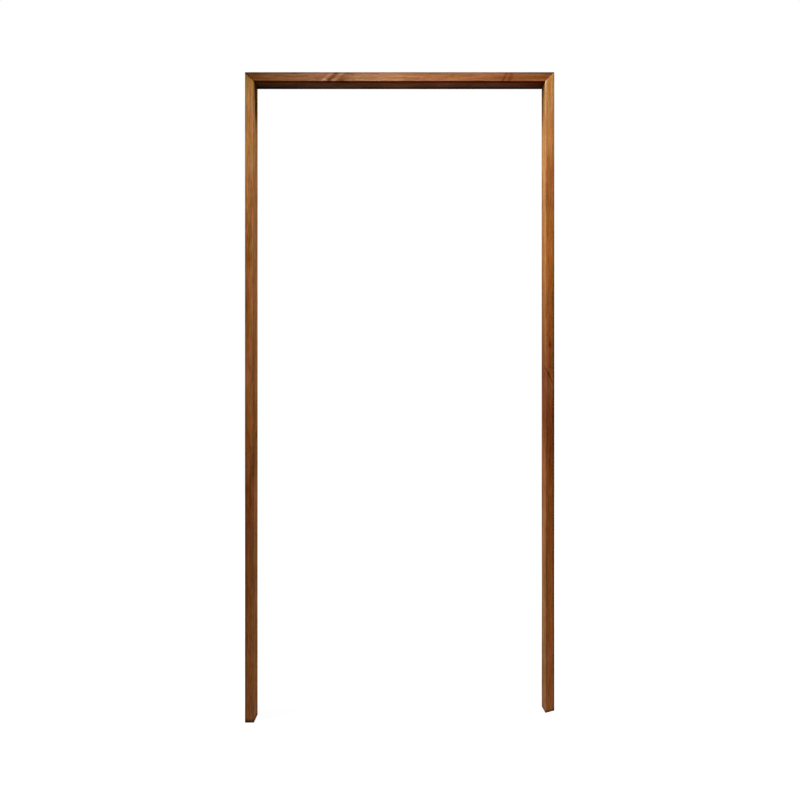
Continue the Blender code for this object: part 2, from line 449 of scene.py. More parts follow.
def knot_field(surface, grain, knots):
    """How far knots push the rings aside, and how dark their hearts are.

    Each knot is (along, across, depth, radius, darkness), stretched along the grain and in depth.
    """
    pushed, dark = 0.0, 0.0
    for along, across, depth, radius, darkness in knots:
        parts = [
            surface.times(surface.minus(grain.along, along), KNOT_ALONG / radius),
            surface.times(surface.minus(grain.across, across), 1 / radius),
            surface.times(surface.minus(grain.depth, depth), KNOT_DEPTH / radius),
        ]
        square = surface.add(surface.times(parts[0], parts[0]), surface.times(parts[1], parts[1]))
        square = surface.add(square, surface.times(parts[2], parts[2]))
        near = surface.math("EXPONENT", surface.times(square, -1.0))
        heart = surface.math("EXPONENT", surface.times(square, -HEART_SHARPNESS))
        pushed = surface.math("MULTIPLY_ADD", near, KNOT_PUSH, pushed)
        dark = surface.math("MULTIPLY_ADD", heart, darkness, dark)
    return pushed, dark


def stroke_field(surface, grain, strokes):
    """Slanting figure beside knots on the room face, dark above 0 and pale below.

    Each stroke is (where it crosses the wall edge, slope, width, darkness).
    """
    dark = 0.0
    for along, slope, width, darkness in strokes:
        line = surface.math("MULTIPLY_ADD", grain.across, -slope, grain.along)
        dark = surface.math("MULTIPLY_ADD", surface.bell(line, along, width), darkness, dark)
    return surface.times(dark, surface.bell(grain.depth, 0.0, STROKE_DEPTH))


def late_wood(surface, bent, point, pushed):
    """1 in each ring's dark late wood, falling to 0 in its early wood."""
    drift = surface.noise(point, DRIFT_GRAINS)
    from_pith = surface.math(
        "SQRT",
        surface.add(
            surface.math("POWER", surface.add(bent.across, PITH_ACROSS), 2.0),
            surface.math("POWER", surface.add(bent.depth, PITH_DEPTH), 2.0),
        ),
    )
    rings = surface.math("MULTIPLY_ADD", from_pith, RINGS_PER_METRE, surface.times(drift, RING_DRIFT))
    ring = surface.math("FRACT", surface.add(rings, pushed))
    return surface.times(
        surface.between(ring, LATE_WOOD_FROM, LATE_WOOD_FULL),
        surface.between(ring, LATE_WOOD_ENDS, 1.0, 1.0, 0.0),
    )


def along_board(surface, grain, looks, levels):
    """A number that changes along the board, from stops of (place in metres, number)."""
    share = surface.times(grain.along, 1 / looks.length)
    return surface.curve(share, [(place / looks.length, level) for place, level in levels])


def stain(surface, grain, looks):
    """The stain's colour along a board, on its faces and on the side in the doorway."""
    share = surface.times(grain.along, 1 / looks.length)
    # The side in the doorway has its own tones, partly painted light to match how lit each side looks
    face, side = (
        surface.ramp(share, [(place / looks.length, srgb(*tone)) for place, tone in tones])
        for tones in (looks.face, looks.side)
    )
    on_side = surface.times(
        surface.between(grain.depth, 0.0, SIDE_TONE_FULL),
        surface.between(grain.depth, STOP_DEPTH - SIDE_TONE_ENDS, STOP_DEPTH, 1.0, 0.0),
    )
    return edge_tones(surface, grain, looks, surface.mix(on_side, face, side))


def edge_tones(surface, grain, looks, tone):
    """The stain with a painted highlight on the doorway's arris and at cuts, and redder in a line behind
    the arris.
    """
    arris = surface.times(
        surface.between(grain.across, BOARD_THICKNESS - ARRIS_FROM, BOARD_THICKNESS - ARRIS_FULL),
        surface.between(grain.depth, ARRIS_FADES_FROM, ARRIS_ENDS, 1.0, 0.0),
    )
    line = surface.times(
        surface.between(grain.depth, 0.0, LINE_FULL),
        surface.between(grain.depth, LINE_FADES_FROM, LINE_ENDS, 1.0, 0.0),
    )
    round_arris = surface.between(grain.across, BOARD_THICKNESS - LINE_ROUND_ARRIS, BOARD_THICKNESS)
    line = surface.times(line, round_arris)
    # Painted highlight: paler on the arris along the board, and at the highlight cuts
    highlight = surface.times(arris, along_board(surface, grain, looks, looks.arris))
    highlight = surface.add(highlight, cut_shade(surface, grain, looks.rubs))
    rubbed = surface.mix(highlight, tone, looks.rubbed, "MULTIPLY")
    return surface.mix(surface.times(line, looks.red_line), rubbed, RED_STAIN, "MULTIPLY")


def shade_at_stop_mitres_and_head(surface, grain, looks):
    """How much darker the stain is: painted shade by the leaf's stop, the shadows along the mitres, and a
    painted shadow under the head.
    """
    # Painted shade in the corner where the side in the doorway meets the leaf's stop
    doorway = surface.between(grain.across, BOARD_THICKNESS - STOP_SHADE_FROM, BOARD_THICKNESS - STOP_SHADE_FULL)
    stop = surface.between(grain.depth, STOP_DEPTH * STOP_SHADE_DEPTH_FROM, STOP_DEPTH * STOP_SHADE_DEPTH_FULL)
    stop = surface.times(doorway, stop)
    pool = surface.times(stop, along_board(surface, grain, looks, looks.pool))
    shade = cut_shade(surface, grain, looks.shadows)
    # Painted shadow of the head in the corner under it
    shade = surface.add(shade, painted_head_shadow(surface, grain, looks.corners))
    return surface.minus(shade, pool)


def edge_and_end_darkening(surface, grain, looks):
    """How much of its light the finish keeps where it is darker on its wall edge and its ends."""
    outer = surface.between(grain.across, WALL_EDGE_DARK_FULL, WALL_EDGE_DARK_ENDS, 1.0, 0.0)
    kept = surface.minus(1.0, surface.times(outer, along_board(surface, grain, looks, looks.outer)))
    kept = surface.add(kept, cut_shade(surface, grain, looks.grime))
    return surface.math("MAXIMUM", kept, DARKEST_SHADE)


def cut_shade(surface, grain, cuts):
    """How much the faces change towards the cuts at the board's ends, up or down.

    Each Cut gives the distance from it as a sum of an offset and shares of the board's measures.
    """
    shade = 0.0
    for cut in cuts:
        distance = surface.math("MULTIPLY_ADD", grain.along, cut.along, cut.offset)
        distance = surface.math("MULTIPLY_ADD", grain.across, cut.across, distance)
        distance = surface.math("MULTIPLY_ADD", grain.depth, cut.depth, distance)
        shade = surface.add(shade, surface.between(distance, 0.0, cut.width, cut.level, 0.0))
    return shade


def painted_head_shadow(surface, grain, corners):
    """How much darker a jamb's side in the doorway is in the corner under the head: a painted shadow.

    Each Corner darkens by its level from shallow to deep, further back lower down by its slant, and
    fades between two distances below the top.
    """
    shade = 0.0
    below = surface.minus(TOP_Z, grain.along)
    for corner in corners:
        fading = surface.between(below, corner.fades_from, corner.gone_by, corner.level, 0.0)
        back = surface.math("MULTIPLY_ADD", below, -corner.slant, grain.depth)
        deep = surface.between(back, corner.shallow, corner.deep)
        shade = surface.math("MULTIPLY_ADD", fading, deep, shade)
    return shade


def tinted(surface, grain, tone, shade, kept, point):
    """The stain with its figure, redder where that is dark, with swings of hue, greyer on darker edges and
    ends.
    """
    swing = surface.between(grain.depth, 0.0, SWING_FADES_BY, 1.0, SIDE_SWING)
    redder = surface.noise(point, REDDER_GRAINS, detail=4.0, roughness=1.0)
    redder = surface.times(surface.around(redder, HUE_SWING), swing)
    yellower = surface.noise(point, YELLOWER_GRAINS, detail=4.0, roughness=1.0)
    yellower = surface.times(surface.around(yellower, YELLOW_SWING), swing)
    factors = surface.join(
        surface.times(shade, surface.add(redder, 1.0)),
        surface.times(surface.math("POWER", shade, GREEN_POWER), surface.minus(1.0, redder)),
        surface.times(surface.math("POWER", shade, BLUE_POWER), surface.minus(1.0, yellower)),
    )
    greyed = surface.join(
        kept,
        surface.math("POWER", kept, DARKENED_GREEN_POWER),
        surface.math("POWER", kept, DARKENED_BLUE_POWER),
    )
    return surface.mix(1.0, surface.mix(1.0, tone, factors, "MULTIPLY"), greyed, "MULTIPLY")


def wood(looks):
    """Stained wood grain along a board, with its rings, streaks, pores and knots."""
    surface = Surface(looks.name)
    grain = looks.measures(surface)
    bent, point = swayed(surface, grain, looks.seed)
    pushed, heart = knot_field(surface, grain, looks.knots)
    late = late_wood(surface, bent, point, pushed)
    figure = surface.noise(point, FIGURE_GRAINS, detail=5.0, roughness=0.9)
    streaks = surface.noise(point, STREAK_GRAINS, detail=3.0, roughness=0.6)
    fibres = surface.noise(point, FIBRE_GRAINS)
    pores = surface.between(surface.noise(point, PORE_GRAINS), PORE_FROM, PORE_FULL)

    shade = surface.math("MULTIPLY_ADD", late, LATE_WOOD_SHADE, EARLY_WOOD_SHADE)
    swings = ((figure, FIGURE_SWING), (streaks, STREAK_SWING), (fibres, FIBRE_SWING), (pores, PORE_SWING))
    for noise_value, spread in swings:
        shade = surface.add(shade, surface.around(noise_value, spread))
    shade = surface.minus(shade, surface.add(heart, stroke_field(surface, grain, looks.strokes)))
    shade = surface.add(shade, shade_at_stop_mitres_and_head(surface, grain, looks))
    shade = surface.math("MAXIMUM", shade, DARKEST_SHADE)
    kept = edge_and_end_darkening(surface, grain, looks)
    surface.colour(tinted(surface, grain, stain(surface, grain, looks), shade, kept, point))

    rough = surface.math("MULTIPLY_ADD", late, LATE_WOOD_ROUGHNESS, WOOD_ROUGHNESS)
    surface.roughness(surface.add(rough, surface.around(streaks, STREAK_ROUGHNESS)))
    surface.shine(0.0)
    relief = surface.math("MULTIPLY_ADD", late, LATE_WOOD_RELIEF, surface.times(fibres, FIBRE_RELIEF))
    relief = surface.math("MULTIPLY_ADD", pores, PORE_RELIEF, relief)
    surface.bump(relief, RELIEF_HEIGHT, RELIEF_STRENGTH)
    return surface.material


# Golden brown at the top, reddish brown further down; lighter at the top partly as painted light from
# above
LEFT_JAMB_LOOKS = Looks(
    name="left_jamb_wood",
    measures=lambda surface: jamb_grain(surface, LEFT),
    length=TOP_Z,
    seed=0.31,
    face=(
        (0.10, (113, 68, 34)),
        (0.32, (118, 70, 36)),
        (0.55, (96, 50, 22)),
        (0.80, (111, 63, 29)),
        (1.24, (125, 75, 35)),
        (1.72, (153, 99, 52)),
        (2.00, (146, 103, 53)),
    ),
    side=(
        (0.05, (140, 92, 56)),
        (0.62, (136, 89, 54)),
        (0.95, (130, 82, 44)),
        (1.35, (152, 102, 63)),
        (1.72, (160, 112, 65)),
        (1.98, (165, 119, 78)),
    ),
    outer=((0.1, 0.52), (0.6, 0.50), (1.2, 0.40), (1.7, 0.18), (1.97, 0.42)),
    arris=((0.1, 0.10), (0.6, 0.0), (1.2, 0.15), (1.9, 0.10)),
    rubbed=(1.5, 1.5, 2.2, 1.0),
    red_line=0.0,
    pool=((0.1, 0.20), (1.3, 0.05), (1.95, 0.25)),
    rubs=(),
    shadows=(Cut(TOP_Z, -1.0, -1.0, 0.0, 0.006, -0.35),),
    # Painted shadow of the head in the corner under it
    corners=(Corner(-0.80, 0.095, 0.195, 0.20, -0.0123, 0.0177),),
    grime=(Cut(0.0, 1.0, 0.0, 0.0, 0.015, -0.70), Cut(TOP_Z, -1.0, 0.0, 0.0, 0.010, -0.60)),
    knots=((0.886, 0.028, 0.060, 0.020, 0.5), (0.850, 0.026, 0.0, 0.010, 0.2)),
    strokes=(),
)

# The brightest board, with a knot and its swirl at waist height. Its face is lighter towards the top,
# partly as painted light from above
RIGHT_JAMB_LOOKS = Looks(
    name="right_jamb_wood",
    measures=lambda surface: jamb_grain(surface, RIGHT),
    length=TOP_Z,
    seed=0.77,
    face=(
        (0.05, (126, 70, 33)),
        (0.30, (118, 64, 28)),
        (0.50, (119, 64, 24)),
        (0.97, (113, 59, 26)),
        (1.11, (127, 69, 34)),
        (1.24, (150, 87, 36)),
        (1.72, (163, 95, 44)),
        (2.00, (197, 138, 77)),
    ),
    side=(
        (0.05, (120, 84, 56)),
        (0.40, (138, 97, 63)),
        (0.62, (128, 84, 52)),
        (0.80, (133, 80, 48)),
        (1.08, (106, 62, 36)),
        (1.37, (157, 106, 60)),
        (1.72, (169, 119, 68)),
        (2.00, (166, 122, 72)),
    ),
    outer=((0.1, 0.52), (0.8, 0.55), (1.0, 0.80), (1.18, 0.80), (1.4, 0.50), (1.6, 0.30), (1.97, 0.35)),
    # Painted highlight on the arris, strongest near the top
    arris=((0.1, 0.30), (0.45, 0.10), (0.9, 0.0), (1.55, 0.08), (1.74, 0.15), (1.84, 0.55), (1.97, 0.80)),
    rubbed=(1.5, 1.65, 2.5, 1.0),
    red_line=0.0,
    pool=((0.1, 0.0), (1.3, 0.10), (1.95, 0.30)),
    # Painted highlight along the mitre
    rubs=(Cut(TOP_Z, -1.0, -1.0, 0.0, 0.006, 0.80),),
    shadows=(),
    # Painted shadow of the head in the corner under it
    corners=(Corner(-0.58, 0.110, 0.175, 0.0, 0.024, 0.056),),
    grime=(
        Cut(
            -RIGHT_FOOT_HEIGHT - math.tan(RIGHT_FOOT_SIDE_ANGLE) * BOARD_THICKNESS,
            1.0,
            math.tan(RIGHT_FOOT_SIDE_ANGLE),
            math.tan(RIGHT_FOOT_BACK_ANGLE),
            0.009,
            -0.65,
        ),
        Cut(TOP_Z, -1.0, 0.0, 0.0, 0.006, -0.60),
    ),
    knots=(
        (1.077, 0.0195, 0.0, 0.018, 0.35),
        (1.166, 0.0140, 0.0, 0.016, 0.40),
        (1.099, 0.0130, 0.0, 0.008, 0.35),
        (0.034, 0.0260, 0.0, 0.006, 0.60),
    ),
    strokes=(
        (1.0393, 2.00, 0.0040, 0.40),
        (1.1465, -2.27, 0.0030, 0.12),
        (1.0570, 2.00, 0.0040, -0.20),
        (1.0200, 2.40, 0.0045, -0.25),
        (1.0000, 2.80, 0.0045, 0.18),
    ),
)

# Redder than the jambs, with the pale and dark strokes of a knot left of the middle
HEAD_LOOKS = Looks(
    name="head_wood",
    measures=head_grain,
    length=2 * HALF_WIDTH,
    seed=1.13,
    face=(
        (0.03, (104, 62, 34)),
        (0.14, (126, 79, 48)),
        (0.20, (150, 102, 74)),
        (0.28, (163, 118, 91)),
        (0.36, (170, 118, 78)),
        (0.52, (172, 115, 74)),
        (0.73, (156, 97, 57)),
        (0.79, (149, 86, 47)),
        (0.93, (140, 80, 43)),
    ),
    side=(
        (0.03, (120, 88, 68)),
        (0.20, (133, 90, 70)),
        (0.37, (143, 92, 66)),
        (0.50, (148, 94, 64)),
        (0.78, (129, 80, 61)),
        (0.93, (126, 77, 55)),
    ),
    outer=((0.02, 0.30), (0.12, 0.25), (0.75, 0.25), (0.93, 0.50)),
    arris=((0.02, 0.0), (0.25, 0.05), (0.40, 0.55), (0.93, 0.60)),
    rubbed=(1.35, 1.65, 2.7, 1.0),
    red_line=1.0,
    pool=((0.02, 0.65), (0.93, 0.68)),
    rubs=(),
    shadows=(
        Cut(0.0, 1.0, -1.0, 0.0, 0.006, -0.35),
        Cut(0.020, 0.25, -1.0, 0.0, 0.035, -0.30),
        Cut(2 * HALF_WIDTH, -1.0, -1.0, 0.0, 0.003, -0.20),
    ),
    corners=(),
    grime=(),
    knots=(
        (0.246, 0.0225, 0.0, 0.009, -0.35),
        (0.258, 0.0225, 0.0, 0.011, 0.45),
        (0.300, 0.0245, 0.0, 0.034, 0.45),
        (0.331, 0.0080, 0.0, 0.009, 0.30),
        (0.318, 0.0020, 0.0, 0.024, 0.40),
    ),
    strokes=(
        (0.2705, -1.20, 0.0045, -0.36),
        (0.2855, -1.00, 0.0055, 0.38),
        (0.3048, -1.10, 0.0045, -0.32),
        (0.8097, -0.50, 0.0040, 0.50),
        (0.8250, -0.36, 0.0070, 0.35),
    ),
)


def bare_fibreboard():
    """Raw fibreboard, pale brown and speckled with pressed fibres."""
    surface = Surface("bare_fibreboard")
    point = surface.place()
    fibres = surface.noise(point, BOARD_FIBRE_GRAINS, detail=4.0, roughness=0.7)
    clouds = surface.noise(point, BOARD_CLOUD_GRAINS, detail=3.0)
    stops = ((0.30, srgb(122, 92, 60)), (0.50, srgb(158, 124, 86)), (0.70, srgb(186, 153, 112)))
    clouds = surface.times(clouds, BOARD_CLOUD_SHARE)
    shade = surface.math("MULTIPLY_ADD", fibres, BOARD_FIBRE_SHARE, clouds)
    surface.colour(surface.ramp(shade, stops))
    surface.roughness(surface.between(fibres, low=0.3, high=0.7, start=0.85, end=0.97))
    surface.shine(0.15)
    surface.bump(fibres, distance=0.0002, strength=0.7)
    return surface.material


def zinc():
    """Zinc plating with dull patches."""
    surface = Surface("zinc_plating")
    point = surface.place()
    patches = surface.noise(point, ZINC_PATCH_GRAINS, detail=3.0)
    stops = ((0.35, srgb(188, 182, 166)), (0.65, srgb(216, 213, 204)))
    surface.colour(surface.ramp(patches, stops))
    surface.shader.inputs["Metallic"].default_value = 1.0
    surface.roughness(surface.between(patches, low=0.3, high=0.7, start=0.30, end=0.50))
    surface.bump(patches, distance=0.00005, strength=0.4)
    return surface.material


def beech():
    """Bare beech with fine flecks."""
    surface = Surface("bare_beech")
    point = surface.place()
    flecks = surface.noise(point, BEECH_FLECK_GRAINS, detail=3.0)
    stops = ((0.35, srgb(190, 152, 110)), (0.65, srgb(214, 182, 142)))
    surface.colour(surface.ramp(flecks, stops))
    surface.roughness(surface.between(flecks, low=0.3, high=0.7, start=0.68, end=0.82))
    surface.bump(flecks, distance=0.0001, strength=0.5)
    return surface.material


def rounded_outline(corners):
    """The points of a closed outline whose corners, each (point, radius), are rounded with arcs."""
    points = []
    for i, (corner, radius) in enumerate(corners):
        if not radius:
            points.append(corner)
            continue
        to_last = (corners[i - 1][0] - corner).normalized()
        to_next = (corners[(i + 1) % len(corners)][0] - corner).normalized()
        half_angle = to_last.angle(to_next) / 2
        centre = corner + (to_last + to_next).normalized() * radius / math.sin(half_angle)
        reach = radius / math.tan(half_angle)
        start = corner + to_last * reach - centre
        end = corner + to_next * reach - centre
        for step in range(EDGE_ARC_STEPS + 1):
            spoke = start.slerp(end, step / EDGE_ARC_STEPS).normalized()
            points.append(centre + spoke * radius)
    return points


def divided(points):
    """A closed outline with more points on its long straight runs."""
    made = []
    for i, point in enumerate(points):
        following = points[(i + 1) % len(points)]
        parts = max(1, round((following - point).length / ACROSS_STEP))
        made += [point.lerp(following, part / parts) for part in range(parts)]
    return made


def section_outline():
    """The boards' section: x is the distance in from the wall side, y the place along the depth."""
    lap_front, lap_back = FRONT_Y + FINISH_LAP, BACK_Y - FINISH_LAP
    corners = [
        (Vector((FINISH_THICKNESS, lap_front)), 0),
        (Vector((0, lap_front)), 0),
        (Vector((0, FRONT_Y)), WALL_EDGE_RADIUS),
        (Vector((BOARD_THICKNESS, FRONT_Y)), DOORWAY_EDGE_RADIUS),
        (Vector((BOARD_THICKNESS, STOP_Y)), STOP_EDGE_RADIUS),
        (Vector((LEAF_SIDE_THICKNESS, STOP_Y)), REBATE_FILLET),
        (Vector((LEAF_SIDE_THICKNESS, BACK_Y)), LEAF_EDGE_RADIUS),
        (Vector((0, BACK_Y)), WALL_EDGE_RADIUS),
        (Vector((0, lap_back)), 0),
        (Vector((FINISH_THICKNESS, lap_back)), 0),
    ]
    return divided(rounded_outline(corners))


def inward_normals(outline):
    """At each point of the outline, which runs anticlockwise, the direction into the board."""
    normals = []
    for i in range(len(outline)):
        run = outline[(i + 1) % len(outline)] - outline[i - 1]
        normals.append(Vector((-run.y, run.x)).normalized())
    return normals


def bare_runs(outline):
    """Which runs of the outline, each from a point to the next, are bare board on the wall side."""
    runs = []
    for i, point in enumerate(outline):
        following = outline[(i + 1) % len(outline)]
        depths = sorted((point.x, following.x))
        runs.append(depths[0] > FINISH_THICKNESS / 2 and depths[1] < FINISH_THICKNESS * 2)
    return runs


def onto_plane(point, direction, plane):
    """Slides a point along a direction until it lies on the plane, given as (point, normal)."""
    on_plane, normal = plane
    return point + direction * ((on_plane - point).dot(normal) / direction.dot(normal))


def mitre_plane(side, shift):
    """A corner's mitre as (point, normal), with the normal to the head, moved that way by shift."""
    normal = Vector((-side * math.sin(MITRE_ANGLE), 0, math.cos(MITRE_ANGLE)))
    return Vector((side * HALF_WIDTH, 0, TOP_Z)) + normal * shift, normal


def right_foot_plane():
    """The skewed saw cut that ends the right jamb, through its inner front corner."""
    inner_front = Vector((HALF_WIDTH - BOARD_THICKNESS, FRONT_Y, RIGHT_FOOT_HEIGHT))
    rise = math.tan(RIGHT_FOOT_SIDE_ANGLE)
    drop = math.tan(RIGHT_FOOT_BACK_ANGLE)
    return inner_front, Vector((-rise, drop, 1)).normalized()


def end_rings(end, to_world, direction, outline, inward):
    """The outline of a board's cut end, drawn in by its bevel, and the full outline behind the bevel."""
    drawn_in = [point + normal * end.bevel for point, normal in zip(outline, inward)]
    tip = [onto_plane(to_world(point), direction, end.plane) for point in drawn_in]
    edge = []
    for point in outline:
        on_cut = onto_plane(to_world(point), direction, end.plane)
        chip = max(0.0, noise.noise(on_cut / FOOT_CHIP_SIZE)) * end.spread
        edge.append(on_cut + direction * (end.bevel + chip))
    return tip, edge


def sanded(point, inward):
    """A point of a board's face, sunk by as little as sanding leaves it uneven."""
    grain = Vector((point.x / UNEVEN_ACROSS, point.y / UNEVEN_ACROSS, point.z / UNEVEN_ALONG))
    return point + inward * UNEVENNESS * (1 + noise.noise(grain))


def board_mesh(name, to_world, direction, start, end, materials):
    """A board along a direction between two Ends, finished all round but for its bare wall side.

    to_world turns a point of the section into a point of the board at 0 along its direction.
    """
    outline = section_outline()
    inward = inward_normals(outline)
    origin = to_world(Vector((0, 0)))
    into_board = [to_world(normal) - origin for normal in inward]
    start_tip, start_edge = end_rings(start, to_world, direction, outline, inward)
    end_tip, end_edge = end_rings(end, to_world, -direction, outline, inward)
    steps = round((end_edge[0] - start_edge[0]).length / ALONG_STEP)
    rings = [start_tip]
    for step in range(steps + 1):
        points = [first.lerp(last, step / steps) for first, last in zip(start_edge, end_edge)]
        rings.append([sanded(point, normal) for point, normal in zip(points, into_board)])
    rings.append(end_tip)

    shape = bmesh.new()
    rows = [[shape.verts.new(point) for point in ring] for ring in rings]
    bare = bare_runs(outline)
    for row, (low, high) in enumerate(zip(rows, rows[1:])):
        bare_end = (row == 0 and start.bare) or (row == len(rows) - 2 and end.bare)
        for i in range(len(outline)):
            j = (i + 1) % len(outline)
            face = shape.faces.new((low[i], low[j], high[j], high[i]))
            face.material_index = int(bare[i] or bare_end)
    for tip in (rows[0], rows[-1]):
        shape.faces.new(tip).material_index = 1
    bmesh.ops.triangulate(shape, faces=[face for face in shape.faces if len(face.verts) > 4])
    return finished_mesh(name, shape, materials)


def finished_mesh(name, shape, materials):
    """Turns a bmesh into a mesh with its faces outwards, shaded smooth up to its sharp edges."""
    bmesh.ops.recalc_face_normals(shape, faces=shape.faces)
    mesh = bpy.data.meshes.new(name)
    shape.to_mesh(mesh)
    shape.free()
    for material in materials:
        mesh.materials.append(material)
    mesh.shade_smooth()
    mesh.set_sharp_from_angle(angle=SHARP_EDGE_ANGLE)
    return mesh


def place(name, mesh, location=(0, 0, 0), rotation=(0, 0, 0)):
    """Puts a mesh into the scene as an object."""
    made = bpy.data.objects.new(name, mesh)
    made.location = location
    made.rotation_euler = rotation
    bpy.context.scene.collection.objects.link(made)
    return made


def stand_for(piece, node):
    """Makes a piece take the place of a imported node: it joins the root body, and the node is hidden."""
    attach(piece, "root")
    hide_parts(node)


def jamb(side, foot, finish, bare):
    """An upright board with its wall side outwards."""
    name = "left" if side == LEFT else "right"
    mesh = board_mesh(
        name + "_jamb_board",
        lambda point: Vector((side * (HALF_WIDTH - point.x), point.y, 0)),
        UP,
        End(foot, FOOT_BEVEL, FOOT_BEVEL_SPREAD, True),
        End(mitre_plane(side, -GLUE_LINE / 2), MITRE_BEVEL, 0, False),
        [finish, bare],
    )
    return place(name + "_jamb_board", mesh)


def head(finish, bare):
    """The board across the top."""
    left_end, right_end = (
        End(mitre_plane(side, GLUE_LINE / 2), MITRE_BEVEL, 0, False) for side in (LEFT, RIGHT)
    )
    mesh = board_mesh(
        "head_board",
        lambda point: Vector((0, point.y, TOP_Z - point.x)),
        ALONG_HEAD,
        left_end,
        right_end,
        [finish, bare],
    )
    return place("head_board", mesh)


def turned(profile):
    """A solid turned about Z from a profile of (radius, height) that starts and ends on the axis."""
    shape = bmesh.new()
    verts = [shape.verts.new((radius, 0, height)) for radius, height in profile]
    edges = [shape.edges.new(pair) for pair in zip(verts, verts[1:])]
    bmesh.ops.spin(
        shape,
        geom=verts + edges,
        cent=(0, 0, 0),
        axis=(0, 0, 1),
        angle=2 * math.pi,
        steps=TURNED_SIDES,
    )
    bmesh.ops.remove_doubles(shape, verts=shape.verts, dist=MERGE_DISTANCE)
    return shape


def dowel_hole():
    """The round hole that a dowel sits in, in both boards."""
    radius = DOWEL_RADIUS + HOLE_CLEARANCE
    half = DOWEL_HALF_LENGTH + HOLE_CLEARANCE
    return turned([(0, half), (radius, half), (radius, -half), (0, -half)])


def screw_hole():
    """The countersunk hole that a screw sits in, open past the wall side."""
    rim = SCREW_HEAD_RADIUS + HOLE_CLEARANCE
    shank = SCREW_RADIUS + HOLE_CLEARANCE
    mouth = SCREW_SUNK_BY + HOLE_OVERSHOOT
    cone_top = -SCREW_HEAD_RIM - HOLE_CLEARANCE
    cone_bottom = cone_top - (rim - shank)
    point = -SCREW_LENGTH + SCREW_POINT_LENGTH
    tip = -SCREW_LENGTH - HOLE_CLEARANCE
    cone = [(rim, mouth), (rim, cone_top), (shank, cone_bottom)]
    return turned([(0, mouth), *cone, (shank, point), (0, tip)])


def recess():
    """The tapered cross that a driver fits: its stated size at the screw's top, narrower below."""
    arm, half = RECESS_ARM_LENGTH, RECESS_ARM_WIDTH / 2
    quarter = [(arm, -half), (arm, half), (half, half)]
    turns = [Matrix.Rotation(math.radians(90 * i), 2) for i in range(4)]
    outline = [turn @ Vector(point) for turn in turns for point in quarter]
    shape = bmesh.new()
    levels = ((RECESS_DEPTH, 1 + RECESS_TAPER), (-RECESS_DEPTH, 1 - RECESS_TAPER))
    top, bottom = (
        [shape.verts.new((point.x * grown, point.y * grown, height)) for point in outline]
        for height, grown in levels
    )
    shape.faces.new(top)
    shape.faces.new(bottom)
    for i in range(len(outline)):
        j = (i + 1) % len(outline)
        shape.faces.new((top[i], top[j], bottom[j], bottom[i]))
    return shape


def thread_radius(height, turn):
    """How far a screw's surface is from its axis, at a height and a share of a turn round it."""
    neck_end = -SCREW_HEAD_RIM - SCREW_HEAD_RADIUS + SCREW_NECK_RADIUS - SCREW_NECK_LENGTH
    taper = min(1.0, (height + SCREW_LENGTH) / SCREW_POINT_LENGTH)
    phase = (height / THREAD_PITCH + turn) % 1.0
    tooth = max(0.0, 1 - abs(phase - 0.5) / THREAD_CREST)
    rise = min(1.0, max(0.0, (neck_end - height) / THREAD_PITCH))
    core = SCREW_NECK_RADIUS + (SCREW_CORE_RADIUS - SCREW_NECK_RADIUS) * rise
    return (core + (SCREW_RADIUS - SCREW_CORE_RADIUS) * tooth * rise) * taper


def screw():
    """A countersunk screw with a coarse thread below its neck, its top at height 0."""
    cone_bottom = -SCREW_HEAD_RIM - SCREW_HEAD_RADIUS + SCREW_NECK_RADIUS
    row_drop = THREAD_PITCH / THREAD_ROWS_PER_TURN
    row_count = int((cone_bottom + SCREW_LENGTH) / row_drop)
    profiles = [(0, lambda turn: SCREW_HEAD_RADIUS), (-SCREW_HEAD_RIM, lambda turn: SCREW_HEAD_RADIUS)]
    for row in range(row_count):
        height = cone_bottom - row * row_drop
        profiles.append((height, lambda turn, height=height: thread_radius(height, turn)))
    shape = bmesh.new()
    rows = []
    for height, radius_at in profiles:
        row = []
        for side in range(TURNED_SIDES):
            turn = side / TURNED_SIDES
            spoke = Vector((math.cos(2 * math.pi * turn), math.sin(2 * math.pi * turn), 0))
            row.append(shape.verts.new(spoke * radius_at(turn) + Vector((0, 0, height))))
        rows.append(row)
    for high, low in zip(rows, rows[1:]):
        for i in range(TURNED_SIDES):
            j = (i + 1) % TURNED_SIDES
            shape.faces.new((low[i], low[j], high[j], high[i]))
    shape.faces.new(rows[0])
    tip = shape.verts.new((0, 0, -SCREW_LENGTH))
    for i in range(TURNED_SIDES):
        shape.faces.new((rows[-1][i], rows[-1][(i + 1) % TURNED_SIDES], tip))
    return shape


def take_away(target, tool):
    """Adds a Boolean that cuts the tool out of the target, with the tool's material on the cut."""
    boolean = target.modifiers.new("without_" + tool.name, "BOOLEAN")
    boolean.operation = "DIFFERENCE"
    boolean.solver = "EXACT"
    boolean.material_mode = "TRANSFER"
    boolean.object = tool


def settle(pieces, tools):
    """Gives the pieces the meshes that their modifiers make, and removes the tools."""
    graph = bpy.context.evaluated_depsgraph_get()
    for piece in pieces:
        mesh = bpy.data.meshes.new_from_object(piece.evaluated_get(graph))
        piece.modifiers.clear()
        piece.data = mesh
        mesh.set_sharp_from_angle(angle=SHARP_EDGE_ANGLE)
    for tool in tools:
        bpy.data.objects.remove(tool)


def dowel_spots(side):
    """Where a corner's dowels sit, and how they are turned."""
    inset = BOARD_THICKNESS / 2
    for depth in (FRONT_Y + DOWEL_FROM_STOP_EDGES, STOP_Y - DOWEL_FROM_STOP_EDGES):
        yield (side * (HALF_WIDTH - inset), depth, TOP_Z - inset), (0, -side * MITRE_ANGLE, 0)


def screw_spots(side):
    """Where the tops of a corner's screws are, and how the screws are turned."""
    middles = (
        ((FRONT_Y + STOP_Y) / 2, BOARD_THICKNESS / 2),
        ((STOP_Y + BACK_Y) / 2, LEAF_SIDE_THICKNESS / 2),
    )
    for depth, below_top in middles:
        spot = (side * (HALF_WIDTH - SCREW_SUNK_BY), depth, TOP_Z - below_top)
        yield spot, (0, side * math.radians(90), 0)


